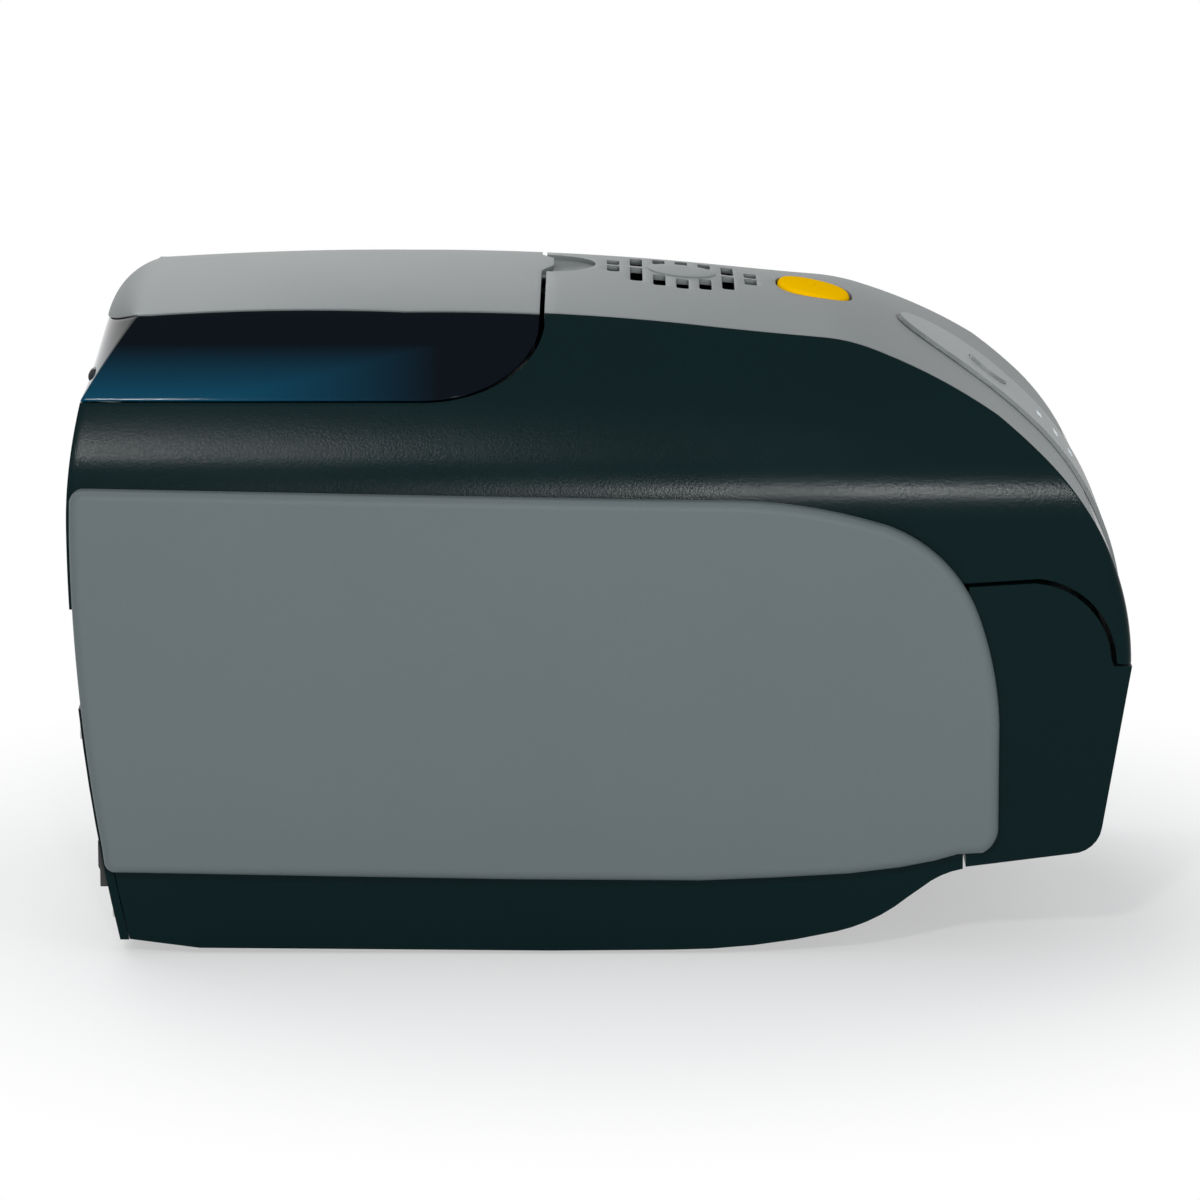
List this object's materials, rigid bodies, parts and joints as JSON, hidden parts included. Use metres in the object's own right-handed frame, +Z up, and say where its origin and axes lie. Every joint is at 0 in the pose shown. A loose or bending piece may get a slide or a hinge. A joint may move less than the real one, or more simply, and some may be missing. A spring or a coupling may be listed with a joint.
{
  "type": "id card printer",
  "caption": "Desktop plastic card printer with a hinged clamshell cover, tinted hopper lid, card feed rollers, ribbon cassette, print head and front output tray.",
  "frame": {"origin": "middle of the printer's footprint, at the height of the surface it stands on", "axes": "+X towards the front where cards come out, +Y across to the printer's right side seen from behind the front, +Z up"},
  "size_m": [0.368, 0.195, 0.231],
  "materials": {
    "dark_plastic": "satin fine texture",
    "grey_panel": "matte fine texture",
    "grey_top": "matte fine texture",
    "light_panel": "satin",
    "tinted_window": "gloss tinted",
    "yellow_button": "satin",
    "black_plastic": "satin",
    "white_plastic": "satin",
    "zinc_steel": "zinc plated sheet",
    "ground_steel": "ground",
    "rubber": "soft",
    "grey_rubber": "soft",
    "board_green": "solder mask",
    "brass": "plain",
    "copper": "plain",
    "ribbon_film": "thin dyed film",
    "light_lens": "clear lens"
  },
  "bodies": {
    "root": {"base_case": "dark_plastic", "left_side_panel": "grey_panel", "right_side_panel": "grey_panel", "rear_panel": "dark_plastic", "output_hopper": "dark_plastic", "left_frame_plate": "zinc_steel", "right_frame_plate": "zinc_steel", "tie_rods": "ground_steel", "card_guides": "black_plastic", "input_hopper": "black_plastic", "drive_motor": "zinc_steel", "main_board": "board_green", "board_parts": "black_plastic", "board_standoffs": "brass", "power_inlet": "black_plastic", "usb_port": "zinc_steel", "network_port": "zinc_steel", "roller_bushes": "brass", "feet": "rubber", "base_screws": "zinc_steel", "hinge_pins": "ground_steel", "drive_belt": "rubber", "latch_catch": "zinc_steel", "card_sensor": "black_plastic", "ribbon_cassette": "white_plastic", "ribbon_web": "ribbon_film", "switch_frame": "black_plastic"},
    "pick": {"pick_roller": "rubber", "pick_shaft": "ground_steel", "pick_pulley": "white_plastic"},
    "feed": {"feed_roller": "grey_rubber", "feed_shaft": "ground_steel", "feed_pulley": "white_plastic"},
    "platen": {"platen_roller": "rubber", "platen_shaft": "ground_steel", "platen_pulley": "white_plastic"},
    "exit_drive": {"exit_roller": "grey_rubber", "exit_shaft": "ground_steel", "exit_pulley": "white_plastic"},
    "motor_shaft": {"motor_pulley": "white_plastic"},
    "supply_spool": {"supply_core": "white_plastic", "supply_roll": "ribbon_film"},
    "takeup_spool": {"takeup_core": "white_plastic", "takeup_roll": "ribbon_film"},
    "rocker": {"power_switch": "black_plastic"},
    "cover": {"cover_shell": "dark_plastic", "cover_top": "grey_top", "control_panel": "light_panel", "hopper_deck": "black_plastic", "head_carrier": "zinc_steel", "print_head": "copper", "fan_frame": "black_plastic", "status_lights": "light_lens", "lid_pins": "ground_steel"},
    "fan": {"fan_rotor": "black_plastic"},
    "release": {"release_button": "yellow_button"},
    "hooks": {"latch_hook": "zinc_steel"},
    "panel_button": {"control_button": "light_panel"},
    "lid": {"lid_top": "grey_top", "lid_window": "tinted_window"}
  },
  "joints": [
    {"name": "cover_open", "type": "hinge", "parent": "root", "child": "cover", "pos_m": [-0.158, 0, 0.14], "axis": [0, -1, 0], "range_deg": [0, 55]},
    {"name": "lid_open", "type": "hinge", "parent": "cover", "child": "lid", "pos_m": [-0.1745, 0, 0.199], "axis": [0, -1, 0], "range_deg": [0, 80]},
    {"name": "release_press", "type": "slide", "parent": "cover", "child": "release", "axis": [-0.2079, 0, -0.9781], "range_m": [0, 0.0035], "stiffness_N_per_m": 600, "springref_m": -0.001},
    {"name": "hook_swing", "type": "hinge", "parent": "cover", "child": "hooks", "pos_m": [0.072, 0, 0.186], "axis": [0, 1, 0], "range_deg": [0, 8]},
    {"name": "panel_press", "type": "slide", "parent": "cover", "child": "panel_button", "axis": [-0.6157, 0, -0.788], "range_m": [0, 0.0012], "stiffness_N_per_m": 500, "springref_m": -0.001},
    {"name": "fan_spin", "type": "hinge", "parent": "cover", "child": "fan", "pos_m": [0.029, 0, 0.208], "axis": [0, 0, 1], "continuous": true},
    {"name": "motor_spin", "type": "hinge", "parent": "root", "child": "motor_shaft", "pos_m": [-0.02, 0, 0.05], "axis": [0, 1, 0], "continuous": true},
    {"name": "pick_spin", "type": "hinge", "parent": "root", "child": "pick", "pos_m": [-0.085, 0, 0.0905], "axis": [0, 1, 0], "continuous": true},
    {"name": "feed_spin", "type": "hinge", "parent": "root", "child": "feed", "pos_m": [-0.04, 0, 0.0905], "axis": [0, 1, 0], "continuous": true},
    {"name": "platen_spin", "type": "hinge", "parent": "root", "child": "platen", "pos_m": [0.04, 0, 0.0905], "axis": [0, 1, 0], "continuous": true},
    {"name": "exit_spin", "type": "hinge", "parent": "root", "child": "exit_drive", "pos_m": [0.082, 0, 0.0905], "axis": [0, 1, 0], "continuous": true},
    {"name": "supply_spin", "type": "hinge", "parent": "root", "child": "supply_spool", "pos_m": [0.004, 0, 0.134], "axis": [0, 1, 0], "continuous": true},
    {"name": "takeup_spin", "type": "hinge", "parent": "root", "child": "takeup_spool", "pos_m": [0.077, 0, 0.134], "axis": [0, 1, 0], "continuous": true},
    {"name": "power_rock", "type": "hinge", "parent": "root", "child": "rocker", "pos_m": [-0.16686, -0.076, 0.034], "axis": [0, 1, 0], "range_deg": [-9, 9]}
  ],
  "couplings": [
    {"joint": "hook_swing", "follows": "release_press", "rad_per_m": 39.893},
    {"joint": "motor_spin", "follows": "platen_spin", "ratio": 1},
    {"joint": "pick_spin", "follows": "platen_spin", "ratio": 1},
    {"joint": "feed_spin", "follows": "platen_spin", "ratio": 1},
    {"joint": "exit_spin", "follows": "platen_spin", "ratio": 1}
  ]
}
